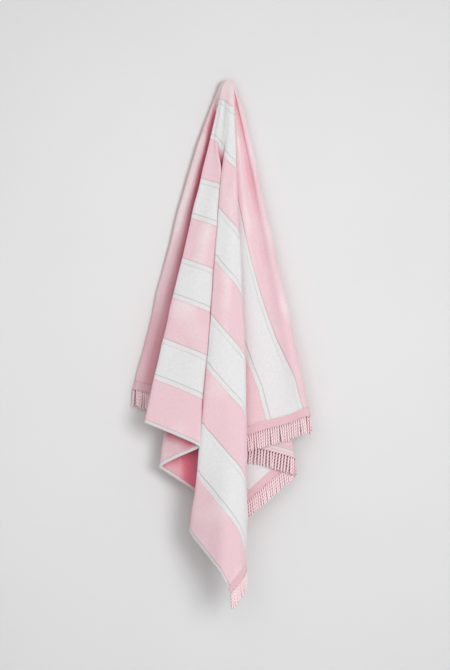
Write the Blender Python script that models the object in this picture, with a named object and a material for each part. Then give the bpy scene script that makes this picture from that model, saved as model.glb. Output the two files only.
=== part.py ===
"""Beach towel hung from one point near the middle of a long edge.

The cloth is one sheet. Any point of it is known by its flat place: u metres along the
stripes and v metres across them, measured from the point that it hangs by. Folds run
down from that point like the ribs of a closed umbrella. Each row of FOLDS is one of
them, and between two rows the cloth is a plain panel. The origin is the hang point, +Z
is up, and the side that faces the room is -Y. Metres, and degrees for flat angles.
"""
import math

import bmesh
import bpy
import numpy as np
from mathutils import Vector

for old in list(bpy.data.objects):
    bpy.data.objects.remove(old, do_unlink=True)

# ---------------------------------------------------------------- the flat towel
STRIPE = 0.0987            # width of one cabana stripe
STRIPE_COUNT = 9
HEM = 0.0075               # turned hem along each long edge
CLOTH = 0.0022             # thickness of the sheet
NEAR_EDGE = 0.5 * STRIPE + HEM                         # hang point to the near long edge
FAR_EDGE = STRIPE_COUNT * STRIPE + 2 * HEM - NEAR_EDGE   # and to the far one
LEFT_LENGTH = 0.797        # hang point to the cord roots of the left end
RIGHT_LENGTH = 0.945       # and of the right end

# ---------------------------------------------------------------- fringe trim
TAPE = 0.020               # width of the header tape of the fringe
TAPE_GAP = 0.0020          # tape to cloth
CORD_LENGTH = 0.043
CORD_COUNT = 148           # cords on each end
CORD_WIDTH = 0.0034
CORD_TIP = 0.72            # size of a cord's tip as a share of its root
CORD_FALL = 0.75           # 0 for a cord that goes on along the cloth, 1 for straight down

# ---------------------------------------------------------------- how it hangs
CAP_ROWS = (0.006, 0.013, 0.022, 0.033, 0.045, NEAR_EDGE, 0.070, 0.090, 0.120)
LOWER_ROWS = 13            # rows from the last of CAP_ROWS down to the edge
SHOULDER = 0.058           # length over which a fold leaves the rounded top in depth
SIDE_SHOULDER = 0.028      # and sideways, where the top is blunter
SPREAD = 0.28              # length over which the spread column comes in
SAG_FROM = 0.75            # below this length the folds may swing in
SETTLE_FROM = 0.70         # below this length they hang nearer to upright in depth
SETTLE = 0.4
LEVEL_HIGH = 0.30          # radii that the two angle columns are given at
LEVEL_LOW = 0.85
GATHER = 0.30              # length over which the cloth is gathered up at the top
TURN_TOP = 0.30            # radius added to the real one to get the width of a turn
TURN_LEVEL = 0.80          # radius that the turn column is given at
THIN_TIP = 0.0005          # thickness of the cloth at the hang point itself
THICKEN = 0.012            # and what it gains for each metre away from there

# One row for each fold, from the left free edge round to the right one.
#   high, low   flat angle of the fold at the two levels, 0 straight across the stripes
#   top_x, top_y   where it leaves the rounded top, centimetres
#   lean_x, lean_y  how far it then leans, centimetres for each metre of cloth
#   spread      sideways move that comes in slowly below the top, centimetres
#   sag         sideways swing low down, centimetres for each square metre
#   back        swing low down towards the back, in the same measure
#   take_up     cloth gathered up at the top, centimetres
#   turn        width of its turn, centimetres; 0 for a soft bend
#   opens       length, centimetres, above which it is pressed flat between its neighbours
COLUMNS = ("name", "high", "low", "top_x", "top_y", "lean_x", "lean_y",
           "spread", "sag", "back", "take_up", "turn", "opens")
FOLDS = [
    ("left_edge",       0.0,    0.0, -1.10,  2.40,  -21.5,   2.9,  0.0,    0.0,   0.0,  0.0, 0.0,  0.0),
    ("left_back",       0.0,    0.0, -0.85,  1.60,  -24.8,   4.2, -2.0,    0.0,   0.0,  0.0, 0.0,  0.0),
    ("left_roll",     -90.0,  -92.3, -0.75,  1.10,  -24.8,   3.8, -2.1,    0.0,   0.0,  0.0, 1.5,  0.0),
    ("left_inner",    -81.0,  -82.5, -0.70,  1.40,  -14.8,   4.2,  0.0,    0.0,   0.0,  0.0, 1.4,  4.5),
    ("back_right",    -62.0,  -62.5,  1.00,  1.25,   13.4,   3.6,  0.0,    0.0,   0.0,  0.0, 1.2,  4.5),
    ("back_left",     -48.2,  -48.6, -0.40,  1.00,   -5.6,   3.2,  0.0,    0.0,   0.0,  0.0, 1.0,  4.5),
    ("core_right",    -40.5,  -40.8,  0.30,  0.75,    4.2,   2.6,  0.0,   -4.0,   0.0,  0.0, 1.0,  4.5),
    ("core_left",     -32.2,  -32.4, -0.45,  0.50,   -6.1,   1.9,  0.0,    0.0,   0.0,  0.0, 1.0,  4.5),
    ("deep_right",    -17.0,  -17.0,  1.20,  0.20,   15.0,   0.9,  0.0,    0.0,   0.0,  0.0, 1.2,  4.5),
    ("deep_left",       3.5,    5.0, -0.80,  0.10,  -16.0,   0.9,  0.0,    0.0,   0.0,  0.0, 0.0,  4.5),
    ("front_left",      8.5,   11.5, -0.50, -0.60,  -22.7,  -5.4,  0.0,    0.0,   0.0,  0.0, 0.8,  0.0),
    ("front_middle",   12.8,   15.8, -0.10, -1.00,  -14.6,  -7.3,  0.0,    0.0,   0.0,  0.0, 0.0, 13.0),
    ("front_right",    17.7,   20.5,  0.57, -1.20,   -7.7,  -7.9,  0.0,    0.0,   0.0,  0.0, 0.9, 13.0),
    ("tuck_left",      27.5,   28.6, -0.45, -0.15,  -16.4,  -0.2,  0.0,    0.0,   0.0,  0.0, 1.2, 13.0),
    ("tuck_right",     34.5,   35.6,  0.50, -0.60,   -4.0,  -4.2,  0.0,   -4.0,   0.0,  0.0, 0.8, 13.0),
    ("apron_left",     39.2,   40.7,  0.60, -1.30,   -7.6,  -8.9,  0.0,   -8.0,  40.0,  0.0, 1.0, 13.0),
    ("apron_middle",   45.0,   45.8,  0.90, -1.50,   -0.4,  -9.8,  0.0,   -9.0,   0.0,  0.0, 0.0,  0.0),
    ("apron_bend",     49.6,   48.9,  1.45, -1.40,    4.1,  -9.5,  0.0,  -17.0,   0.0,  0.0, 0.0,  0.0),
    ("apron_right",    52.2,   51.6,  1.50, -1.10,    4.4,  -6.2,  0.0,   -8.0,   0.0,  0.0, 0.0,  0.0),
    ("apron_back",     55.4,   55.6, -0.10, -0.50,   -2.0,  -2.2,  0.0,    0.0,   0.0,  4.0, 1.0,  8.0),
    ("under_right",    67.4,   67.4,  1.00, -0.15,   16.6,  -0.5,  0.0,    0.0,   0.0,  7.9, 1.6,  8.0),
    ("under_left",     78.0,   75.2,  0.75, -0.60,    0.4,  -2.4,  0.0,    0.0,   0.0,  9.1, 1.0,  6.0),
    ("side_valley",    93.0,   84.5,  1.25, -0.40,   16.2,  -2.8,  0.5,    0.0,   0.0,  9.0, 0.0,  0.0),
    ("side_roll",      96.0,   87.4,  1.25, -0.70,   21.0,  -2.6,  0.7,    0.0,   0.0,  9.3, 1.8,  0.0),
    ("right_back",      0.0,    0.0,  1.30,  1.20,   21.8,   0.2,  0.6,    0.0,   0.0,  9.5, 0.0,  0.0),
    ("right_edge",      0.0,    0.0,  1.10,  2.40,   19.0,   1.4,  0.0,    0.0,   0.0,  9.5, 0.0,  0.0),
]
BACK_SHARE = 0.45          # share of the turned-back strip that lies before its bend
ROUND = 0.016              # length of cloth that a bend or half a turn is rounded over
STEP = 0.005               # spacing of the radii at which fold lines are worked out
REACH = 1.35               # longest radius worked out
OPENING = 0.11             # length over which a pressed fold opens
LEAST_DROP = 0.15          # a fold line drops at least this share of its length
PANEL_STEP = 0.07          # widest gap between two columns of the grid on a panel

COLOURS = {
    "towel": ((0.87, 0.63, 0.66), 0.95),
    "fringe_left": ((0.84, 0.50, 0.55), 0.9),
    "fringe_right": ((0.84, 0.50, 0.55), 0.9),
}


def edge_angle(radius):
    """Flat angle, away from straight down, of the near long edge at each radius."""
    part = np.minimum(1.0, NEAR_EDGE / np.maximum(radius, 1e-9))
    return 90.0 + np.degrees(np.arcsin(part))


def fold_angles(radii):
    """Flat angle of every row of FOLDS at each radius."""
    share = np.clip((radii - LEVEL_HIGH) / (LEVEL_LOW - LEVEL_HIGH), 0.0, 1.0)
    angles = np.stack([row[1] + (row[2] - row[1]) * share for row in FOLDS], axis=1)
    limit = edge_angle(radii)
    angles[:, 0] = -limit
    angles[:, 1] = angles[:, 2] + (-limit - angles[:, 2]) * BACK_SHARE
    angles[:, -1] = limit
    angles[:, -2] = angles[:, -3] + (limit - angles[:, -3]) * BACK_SHARE
    return angles


def eased(length, whole):
    """Rises from 0 to 1 over a length, quickly at first."""
    return np.sin(np.minimum(length / whole, 1.0) * math.pi / 2)


def fold_line(row, radii):
    """Place of one fold at each radius, with its true length kept by the drop."""
    value = dict(zip(COLUMNS, row))
    length = radii - value["take_up"] * 0.01 * eased(radii, GATHER)
    leave = eased(length, SHOULDER)
    swing = np.maximum(0.0, length - SAG_FROM) ** 2
    settled = length - (1.0 - SETTLE) * np.maximum(0.0, length - SETTLE_FROM)
    x = value["top_x"] * eased(length, SIDE_SHOULDER)
    x = x + value["spread"] * eased(length, SPREAD)
    x = (x + value["lean_x"] * length + value["sag"] * swing) * 0.01
    y = (value["top_y"] * leave + value["lean_y"] * settled + value["back"] * swing) * 0.01
    if row in (FOLDS[0], FOLDS[-1]):
        # the near long edge runs over the middle of the back before it parts in two
        apart = np.sqrt(np.clip(1.0 - (NEAR_EDGE / np.maximum(radii, 1e-9)) ** 2, 0.0, 1.0))
        x = x * apart
        y = y * apart + (1.0 - apart) * value["top_y"] * leave * 0.01
    run = np.hypot(np.diff(x), np.diff(y))
    drop = np.sqrt(np.maximum(np.diff(length) ** 2 - run ** 2, (LEAST_DROP * STEP) ** 2))
    z = -np.concatenate([[0.0], np.cumsum(drop)])
    return np.stack([x, y, z], axis=1)


def press(lines, angles, radii):
    """Lays each fold that is still shut on the line between its open neighbours.

    Also gives how far each fold has opened, from 0 to 1, at each radius.
    """
    opens = [dict(zip(COLUMNS, row))["opens"] * 0.01 for row in FOLDS]
    steady = [index for index, start in enumerate(opens) if start == 0.0]
    pressed = lines.copy()
    opened = np.ones(angles.shape)
    for index, start in enumerate(opens):
        if start == 0.0:
            continue
        before = max(other for other in steady if other < index)
        after = min(other for other in steady if other > index)
        share = (angles[:, index] - angles[:, before]) / (angles[:, after] - angles[:, before])
        flat = lines[:, before] + (lines[:, after] - lines[:, before]) * share[:, None]
        way = np.clip((radii - start) / OPENING, 0.0, 1.0)
        opened[:, index] = way * way * (3.0 - 2.0 * way)
        pressed[:, index] = flat + (lines[:, index] - flat) * opened[:, index, None]
    return pressed, opened


def unit(vectors):
    """The same vectors, each one metre long."""
    return vectors / np.maximum(np.linalg.norm(vectors, axis=-1, keepdims=True), 1e-12)


def corners():
    """Corner points of the section at each radius: two for a fold, one for a bend."""
    radii = np.arange(0.0, REACH + STEP, STEP)
    angles = fold_angles(radii)
    lines = np.stack([fold_line(row, radii) for row in FOLDS], axis=1)
    lines, opened = press(lines, angles, radii)
    share = (TURN_TOP * eased(radii, SHOULDER) + radii) / (TURN_TOP + TURN_LEVEL)
    share = np.minimum(1.0, share)
    corner_angles, corner_points = [], []
    for index, row in enumerate(FOLDS):
        turn = dict(zip(COLUMNS, row))["turn"] * 0.01
        if turn == 0.0:
            corner_angles.append(angles[:, index])
            corner_points.append(lines[:, index])
            continue
        before = unit(lines[:, index, :2] - lines[:, index - 1, :2])
        after = unit(lines[:, index + 1, :2] - lines[:, index, :2])
        across = unit(before + after)
        width = turn * share * opened[:, index]
        for side in (-0.5, 0.5):
            point = lines[:, index].copy()
            point[:, :2] += across * (side * width)[:, None]
            corner_points.append(point)
            spread = np.degrees(width / np.maximum(radii, 1e-9)) * 0.9
            corner_angles.append(angles[:, index] + side * spread)
    return np.stack(corner_angles, axis=1), np.stack(corner_points, axis=1)


CORNER_ANGLES, CORNER_POINTS = corners()


def rounding(points):
    """Share of each panel that is taken by the rounding at either end of it."""
    lengths = np.linalg.norm(points[:, 1:] - points[:, :-1], axis=2)
    return np.minimum(0.46, ROUND / np.maximum(lengths, 1e-6))


def at_radius(radius):
    """Corner angles and corner points at each of many radii."""
    place = np.clip(radius / STEP, 0, len(CORNER_ANGLES) - 1.001)
    low = place.astype(int)
    part = (place - low)[:, None]
    angles = CORNER_ANGLES[low] * (1 - part) + CORNER_ANGLES[low + 1] * part
    part = part[:, :, None]
    points = CORNER_POINTS[low] * (1 - part) + CORNER_POINTS[low + 1] * part
    return angles, points


def on_panel(points, panel, share):
    """Places at a share of the way along a panel, with the corners rounded."""
    rows = np.arange(len(panel))
    last = points.shape[1] - 2
    shares = rounding(points)
    here, there = points[rows, panel], points[rows, panel + 1]
    taken = shares[rows, panel]
    place = here + (there - here) * share[:, None]
    first = (share < taken) & (panel > 0)
    back = np.maximum(panel - 1, 0)
    start = here + (points[rows, back] - here) * shares[rows, back][:, None]
    end = here + (there - here) * taken[:, None]
    way = (0.5 + 0.5 * share / taken)[:, None]
    curve = (1 - way) ** 2 * start + 2 * way * (1 - way) * here + way * way * end
    place = np.where(first[:, None], curve, place)
    final = (share > 1 - taken) & (panel < last)
    ahead = np.minimum(panel + 1, last)
    start = there + (here - there) * taken[:, None]
    end = there + (points[rows, ahead + 1] - there) * shares[rows, ahead][:, None]
    way = (0.5 * (share - 1 + taken) / taken)[:, None]
    curve = (1 - way) ** 2 * start + 2 * way * (1 - way) * there + way * way * end
    return np.where(final[:, None], curve, place)


def hang(radius, angle):
    """Hanging places of many flat points, given by radius and flat angle."""
    radius = np.asarray(radius, float)
    angle = np.asarray(angle, float)
    angles, points = at_radius(radius)
    last = angles.shape[1] - 2
    panel = np.clip((angles <= angle[:, None]).sum(axis=1) - 1, 0, last)
    rows = np.arange(len(radius))
    start, end = angles[rows, panel], angles[rows, panel + 1]
    share = np.clip((angle - start) / np.maximum(end - start, 1e-9), 0.0, 1.0)
    return on_panel(points, panel, share)


def hang_flat(u, v):
    """Hanging places of many flat points, given by u and v."""
    return hang(np.hypot(u, v), np.degrees(np.arctan2(u, v)))


# ---------------------------------------------------------------- the sheet's grid
def edge_radius(angle, left, right):
    """Radius at which a ray at this flat angle meets the edge of the cloth."""
    turn = math.radians(angle)
    reach = REACH
    if math.sin(turn) > 1e-6:
        reach = min(reach, right / math.sin(turn))
    if math.sin(turn) < -1e-6:
        reach = min(reach, left / -math.sin(turn))
    if math.cos(turn) > 1e-6:
        reach = min(reach, FAR_EDGE / math.cos(turn))
    return reach


def column_end(panel, share, left, right):
    """Radius at which a column of the grid reaches the edge of the cloth."""
    radius = TURN_LEVEL
    for _ in range(12):
        angles, _ = at_radius(np.array([radius]))
        angle = angles[0, panel] * (1 - share) + angles[0, panel + 1] * share
        radius = edge_radius(float(angle), left, right)
    return radius


def panel_at(radius, angle):
    """Panel, and share of the way along it, of one flat point."""
    angles, _ = at_radius(np.array([radius]))
    panel = int(np.clip((angles[0] <= angle).sum() - 1, 0, angles.shape[1] - 2))
    span = angles[0, panel + 1] - angles[0, panel]
    return panel, (angle - angles[0, panel]) / span


def columns(left, right):
    """Columns of the grid: at each corner, beside it, and through each wide panel."""
    _, points = at_radius(np.array([TURN_LEVEL]))
    shares = rounding(points)[0]
    lengths = np.linalg.norm(points[0, 1:] - points[0, :-1], axis=1)
    found = [(0, 0.0)]
    for panel, (taken, length) in enumerate(zip(shares, lengths)):
        if taken < 0.4:
            middles = int(length // PANEL_STEP)
            for step in range(middles + 2):
                found.append((panel, float(taken + (1 - 2 * taken) * step / (middles + 1))))
        found.append((panel + 1, 0.0) if panel < len(lengths) - 1 else (panel, 1.0))
    for side in (-left, right):
        corner = math.hypot(side, FAR_EDGE)
        found.append(panel_at(corner, math.degrees(math.atan2(side, FAR_EDGE))))
    return sorted(found)


def thick_sheet(name, grid, thickness, closed_rows):
    """One closed solid from a grid of mid-surface places that fans out from a tip."""
    rows, cols = grid.shape[:2]
    down = np.gradient(grid, axis=0)
    along = np.gradient(grid, axis=1)
    for row in range(closed_rows):
        along[row, 0] = along[row, -1] = (grid[row, 1] - grid[row, -2]) * 0.5
    normals = unit(np.cross(along, down))
    mesh = bmesh.new()
    faces = {}
    for sign in (1, -1):
        tip = mesh.verts.new(Vector((0.0, 0.0, sign * THIN_TIP)))
        table = []
        for row in range(rows):
            line = []
            for col in range(cols):
                if row < closed_rows and col == cols - 1:
                    line.append(line[0])
                    continue
                offset = normals[row, col] * (0.5 * thickness[row, col] * sign)
                line.append(mesh.verts.new(grid[row, col] + offset))
            table.append(line)
        faces[sign] = table
        for col in range(cols - 1):
            add_face(mesh, [tip, table[0][col], table[0][col + 1]], sign)
            for row in range(rows - 1):
                add_face(mesh, [table[row][col], table[row + 1][col],
                                table[row + 1][col + 1], table[row][col + 1]], sign)
    rim = [(row, 0) for row in range(closed_rows - 1, rows - 1)]
    rim += [(rows - 1, col) for col in range(cols)]
    rim += [(row, cols - 1) for row in range(rows - 2, closed_rows - 2, -1)]
    front, rear = faces[1], faces[-1]
    for (r0, c0), (r1, c1) in zip(rim, rim[1:]):
        add_face(mesh, [front[r0][c0], rear[r0][c0], rear[r1][c1], front[r1][c1]], 1)
    return add_object(name, mesh)


def add_face(mesh, verts, sign):
    mesh.faces.new(verts if sign > 0 else verts[::-1])


def add_object(name, mesh):
    bmesh.ops.triangulate(mesh, faces=mesh.faces[:])
    bmesh.ops.recalc_face_normals(mesh, faces=mesh.faces[:])
    data = bpy.data.meshes.new(name)
    mesh.to_mesh(data)
    mesh.free()
    data.shade_smooth()
    data.set_sharp_from_angle(angle=math.radians(50))
    thing = bpy.data.objects.new(name, data)
    bpy.context.scene.collection.objects.link(thing)
    colour, roughness = COLOURS[name]
    material = bpy.data.materials.new(name)
    material.use_nodes = True
    shader = material.node_tree.nodes["Principled BSDF"]
    shader.inputs["Base Color"].default_value = (*colour, 1.0)
    shader.inputs["Roughness"].default_value = roughness
    shader.inputs["Metallic"].default_value = 0.0
    data.materials.append(material)
    return thing


def build_towel():
    """The sheet itself, with both its long hems, up to the tape at either end."""
    left = LEFT_LENGTH - TAPE - TAPE_GAP
    right = RIGHT_LENGTH - TAPE - TAPE_GAP
    cols = columns(left, right)
    panel = np.array([column[0] for column in cols])
    share = np.array([column[1] for column in cols])
    ends = np.array([column_end(*column, left, right) for column in cols])
    top = CAP_ROWS[-1]
    radii = [np.full(len(cols), radius) for radius in CAP_ROWS]
    radii += [top + (ends - top) * step / LOWER_ROWS for step in range(1, LOWER_ROWS + 1)]
    grid = np.stack([on_panel(at_radius(row)[1], panel, share) for row in radii])
    thickness = np.minimum(CLOTH, THIN_TIP + THICKEN * np.stack(radii))
    return thick_sheet("towel", grid, thickness, CAP_ROWS.index(NEAR_EDGE) + 1)


def build_fringe(name, side, end):
    """One end's header tape with its cords, which leave the tape's outer edge."""
    pitch = (NEAR_EDGE + FAR_EDGE) / CORD_COUNT
    centres = -NEAR_EDGE + pitch * (np.arange(CORD_COUNT) + 0.5)
    roots = np.stack([centres - CORD_WIDTH / 2, centres + CORD_WIDTH / 2], axis=1)
    v = np.concatenate([[-NEAR_EDGE], roots.ravel(), [FAR_EDGE]])
    inner = np.full(len(v), side * (end - TAPE))
    outer = np.full(len(v), side * end)
    along = np.full(len(v), 0.002)
    mesh = bmesh.new()
    edges = {}
    for key, u in (("inner", inner), ("outer", outer)):
        place = hang_flat(u, v)
        across = hang_flat(u, v + along) - hang_flat(u, v - along)
        down = hang_flat(u, v) - hang_flat(u - side * along, v)
        normal = unit(np.cross(across, down))
        for sign in (1, -1):
            line = place + normal * (0.5 * CLOTH * sign)
            edges[key, sign] = [mesh.verts.new(point) for point in line]
        edges[key, "down"] = unit(down)
    for index in range(len(v) - 1):
        pair = (index, index + 1)
        for sign in (1, -1):
            quad = [edges["inner", sign][i] for i in pair]
            quad += [edges["outer", sign][i] for i in pair[::-1]]
            add_face(mesh, quad, sign)
        quad = [edges["inner", 1][i] for i in pair[::-1]]
        quad += [edges["inner", -1][i] for i in pair]
        add_face(mesh, quad, 1)
        root = [edges["outer", 1][i] for i in pair] + [edges["outer", -1][i] for i in pair[::-1]]
        if index % 2 == 0:
            add_face(mesh, root, 1)
            continue
        add_cord(mesh, root, edges["outer", "down"][index])
    for index in (0, len(v) - 1):
        quad = [edges["inner", 1][index], edges["outer", 1][index],
                edges["outer", -1][index], edges["inner", -1][index]]
        add_face(mesh, quad, 1 if index == 0 else -1)
    return add_object(name, mesh)


def add_cord(mesh, root, along):
    """One cord: four sides and a tip, let down from its root on the tape."""
    fall = np.array([0.0, 0.0, -1.0])
    course = unit(along * (1.0 - CORD_FALL) + fall * CORD_FALL) * CORD_LENGTH
    middle = sum((corner.co for corner in root), Vector()) / len(root)
    tip = [mesh.verts.new(middle + (corner.co - middle) * CORD_TIP + Vector(course))
           for corner in root]
    for index in range(len(root)):
        after = (index + 1) % len(root)
        add_face(mesh, [root[index], root[after], tip[after], tip[index]], 1)
    add_face(mesh, tip, 1)


build_towel()
build_fringe("fringe_left", -1, LEFT_LENGTH)
build_fringe("fringe_right", 1, RIGHT_LENGTH)
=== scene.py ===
"""Dresses the hanging beach towel: striped velour cloth, fringe trims, wall, light, camera."""
import math

import bmesh
import bpy
import numpy as np
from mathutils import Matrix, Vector
from mathutils.bvhtree import BVHTree


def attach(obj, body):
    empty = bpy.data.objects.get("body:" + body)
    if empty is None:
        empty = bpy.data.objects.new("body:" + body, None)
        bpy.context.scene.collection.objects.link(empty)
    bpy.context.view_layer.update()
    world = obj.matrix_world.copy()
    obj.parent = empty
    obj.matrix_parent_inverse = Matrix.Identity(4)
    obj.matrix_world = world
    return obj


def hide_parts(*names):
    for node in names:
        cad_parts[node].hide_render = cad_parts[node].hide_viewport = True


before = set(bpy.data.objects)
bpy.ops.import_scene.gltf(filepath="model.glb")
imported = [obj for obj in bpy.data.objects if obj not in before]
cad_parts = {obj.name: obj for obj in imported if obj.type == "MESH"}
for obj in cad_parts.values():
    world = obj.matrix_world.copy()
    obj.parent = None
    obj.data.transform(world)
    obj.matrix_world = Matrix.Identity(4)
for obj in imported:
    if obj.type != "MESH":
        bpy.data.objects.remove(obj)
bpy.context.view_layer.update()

# -------------------- the flat towel
STRIPE = 0.0987            # width of one cabana stripe
STRIPE_COUNT = 9
HEM = 0.0075               # turned hem along each long edge
CLOTH = 0.0022             # thickness of the sheet
NEAR_EDGE = 0.5 * STRIPE + HEM                         # hang point to the near long edge
FAR_EDGE = STRIPE_COUNT * STRIPE + 2 * HEM - NEAR_EDGE   # and to the far one
LEFT_LENGTH = 0.797        # hang point to the cord roots of the left end
RIGHT_LENGTH = 0.945       # and of the right end

# -------------------- fringe trim
TAPE = 0.020               # width of the header tape of the fringe
CORD_LENGTH = 0.043
CORD_COUNT = 148           # cords on each end
CORD_FALL = 0.75           # 0 for a cord that goes on along the cloth, 1 for straight down

# -------------------- how it hangs
SHOULDER = 0.058           # length over which a fold leaves the rounded top in depth
SIDE_SHOULDER = 0.028      # and sideways, where the top is blunter
SPREAD = 0.28              # length over which the spread column comes in
SAG_FROM = 0.75            # below this length the folds may swing in
SETTLE_FROM = 0.70         # below this length they hang nearer to upright in depth
SETTLE = 0.4
LEVEL_HIGH = 0.30          # radii that the two angle columns are given at
LEVEL_LOW = 0.85
GATHER = 0.30              # length over which the cloth is gathered up at the top
TURN_TOP = 0.30            # radius added to the real one to get the width of a turn
TURN_LEVEL = 0.80          # radius that the turn column is given at

# One row for each fold, from the left free edge round to the right one.
#   high, low   flat angle of the fold at the two levels, 0 straight across the stripes
#   top_x, top_y   where it leaves the rounded top, centimetres
#   lean_x, lean_y  how far it then leans, centimetres for each metre of cloth
#   spread      sideways move that comes in slowly below the top, centimetres
#   sag         sideways swing low down, centimetres for each square metre
#   back        swing low down towards the back, in the same measure
#   take_up     cloth gathered up at the top, centimetres
#   turn        width of its turn, centimetres; 0 for a soft bend
#   opens       length, centimetres, above which it is pressed flat between its neighbours
COLUMNS = ("name", "high", "low", "top_x", "top_y", "lean_x", "lean_y",
           "spread", "sag", "back", "take_up", "turn", "opens")
FOLDS = [
    ("left_edge",      0.0,   0.0, -1.10,  2.40, -21.5,  2.9,  0.0,   0.0,  0.0, 0.0, 0.0,  0.0),
    ("left_back",      0.0,   0.0, -0.85,  1.60, -24.8,  4.2, -2.0,   0.0,  0.0, 0.0, 0.0,  0.0),
    ("left_roll",    -90.0, -92.3, -0.75,  1.10, -24.8,  3.8, -2.1,   0.0,  0.0, 0.0, 1.5,  0.0),
    ("left_inner",   -81.0, -82.5, -0.70,  1.40, -14.8,  4.2,  0.0,   0.0,  0.0, 0.0, 1.4,  4.5),
    ("back_right",   -62.0, -62.5,  1.00,  1.25,  13.4,  3.6,  0.0,   0.0,  0.0, 0.0, 1.2,  4.5),
    ("back_left",    -48.2, -48.6, -0.40,  1.00,  -5.6,  3.2,  0.0,   0.0,  0.0, 0.0, 1.0,  4.5),
    ("core_right",   -40.5, -40.8,  0.30,  0.75,   4.2,  2.6,  0.0,  -4.0,  0.0, 0.0, 1.0,  4.5),
    ("core_left",    -32.2, -32.4, -0.45,  0.50,  -6.1,  1.9,  0.0,   0.0,  0.0, 0.0, 1.0,  4.5),
    ("deep_right",   -17.0, -17.0,  1.20,  0.20,  15.0,  0.9,  0.0,   0.0,  0.0, 0.0, 1.2,  4.5),
    ("deep_left",      3.5,   5.0, -0.80,  0.10, -16.0,  0.9,  0.0,   0.0,  0.0, 0.0, 0.0,  4.5),
    ("front_left",     8.5,  11.5, -0.50, -0.60, -22.7, -5.4,  0.0,   0.0,  0.0, 0.0, 0.8,  0.0),
    ("front_middle",  12.8,  15.8, -0.10, -1.00, -14.6, -7.3,  0.0,   0.0,  0.0, 0.0, 0.0, 13.0),
    ("front_right",   17.7,  20.5,  0.57, -1.20,  -7.7, -7.9,  0.0,   0.0,  0.0, 0.0, 0.9, 13.0),
    ("tuck_left",     27.5,  28.6, -0.45, -0.15, -16.4, -0.2,  0.0,   0.0,  0.0, 0.0, 1.2, 13.0),
    ("tuck_right",    34.5,  35.6,  0.50, -0.60,  -4.0, -4.2,  0.0,  -4.0,  0.0, 0.0, 0.8, 13.0),
    ("apron_left",    39.2,  40.7,  0.60, -1.30,  -7.6, -8.9,  0.0,  -8.0, 40.0, 0.0, 1.0, 13.0),
    ("apron_middle",  45.0,  45.8,  0.90, -1.50,  -0.4, -9.8,  0.0,  -9.0,  0.0, 0.0, 0.0,  0.0),
    ("apron_bend",    49.6,  48.9,  1.45, -1.40,   4.1, -9.5,  0.0, -17.0,  0.0, 0.0, 0.0,  0.0),
    ("apron_right",   52.2,  51.6,  1.50, -1.10,   4.4, -6.2,  0.0,  -8.0,  0.0, 0.0, 0.0,  0.0),
    ("apron_back",    55.4,  55.6, -0.10, -0.50,  -2.0, -2.2,  0.0,   0.0,  0.0, 4.0, 1.0,  8.0),
    ("under_right",   67.4,  67.4,  1.00, -0.15,  16.6, -0.5,  0.0,   0.0,  0.0, 7.9, 1.6,  8.0),
    ("under_left",    78.0,  75.2,  0.75, -0.60,   0.4, -2.4,  0.0,   0.0,  0.0, 9.1, 1.0,  6.0),
    ("side_valley",   93.0,  84.5,  1.25, -0.40,  16.2, -2.8,  0.5,   0.0,  0.0, 9.0, 0.0,  0.0),
    ("side_roll",     96.0,  87.4,  1.25, -0.70,  21.0, -2.6,  0.7,   0.0,  0.0, 9.3, 1.8,  0.0),
    ("right_back",     0.0,   0.0,  1.30,  1.20,  21.8,  0.2,  0.6,   0.0,  0.0, 9.5, 0.0,  0.0),
    ("right_edge",     0.0,   0.0,  1.10,  2.40,  19.0,  1.4,  0.0,   0.0,  0.0, 9.5, 0.0,  0.0),
]
FOLD_VALUES = [dict(zip(COLUMNS, row)) for row in FOLDS]
BACK_SHARE = 0.45          # share of the turned-back strip that lies before its bend
TURN_CLOTH = 0.9           # cloth that lies in a turn, as a share of the turn's width
ROUND = 0.016              # length of cloth that a bend or half a turn is rounded over
ROUND_MOST = 0.46          # and the most of a panel that it takes at either end
STEP = 0.005               # spacing of the radii at which fold lines are worked out
REACH = 1.35               # longest radius worked out
OPENING = 0.11             # length over which a pressed fold opens
LEAST_DROP = 0.15          # a fold line drops at least this share of its length
EDGE_ROUNDS = 12           # tries at where a column of the mesh meets the cloth's edge
CM, MM = 0.01, 0.001
TINY = 1e-9                # keeps a division away from zero

# -------------------- how it looks
WIDTH = NEAR_EDGE + FAR_EDGE
BAND = 0.011               # flat woven band on the white side of every colour change
HEM_THICK = 0.0034         # the turned hem is two layers
TIP_HALF = 0.0006          # half the cloth's thickness at the hang point itself,
TOP_HALF = 0.0004          # just below it,
HALF_GAINS = 0.03          # and what that gains there for each metre of cloth
TOP_ROWS = [0.004, 0.009, 0.015, 0.022, 0.030, 0.038, 0.047, NEAR_EDGE]
SIDE_STEP = 0.0115         # spacing of the mesh along a panel and, below TOP_ROWS, down it
DOWN_STEP = 0.0082
TURN_STEPS = 4             # steps of the mesh round half a turn
NUDGE = 0.002              # spacing of the points that a direction is taken from
LAP = 0.001                # how far the cloth runs in between the tape's edges
TAPE_THICK = 0.0028
TAPE_RIM = 0.0024          # its thickness at the edges, a hair more than the cloth's
TAPE_ROUND = 0.0004        # width of the tape's rounded edges
TAPE_FLAT = 0.003          # where its flat middle starts, from either edge
TAPE_STEPS = 331           # points along the tape
PLY = 0.00215              # radius of each of a cord's two plies
PLY_OFF = 0.00135          # how far each ply lies off the cord's middle
CORD_TWIST = 0.0155        # length of one turn of the twist
CORD_SIDES = 12
CORD_RINGS = 22
CORD_SEED = 7
CORD_SWAY = 0.035          # how unevenly the cords hang
CORD_UNEVEN = 0.03         # how unevenly long they are, as a share of their length
CORD_TURNED = 0.35         # how unevenly their twists start, radians
CORD_BUNCH = 0.018         # how far neighbours lean together
CORD_DROOP = 0.25          # how much more a cord's end hangs straight down
CORD_SUNK = 0.002          # how far inside the tape it starts
ROOT_SIZE, ROOT_WAY = 0.80, 0.10   # it is thinner at its root, over this share of it
TIP_LESS, TIP_WAY = 0.45, 0.95     # and its cut end is rounded off past here
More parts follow.
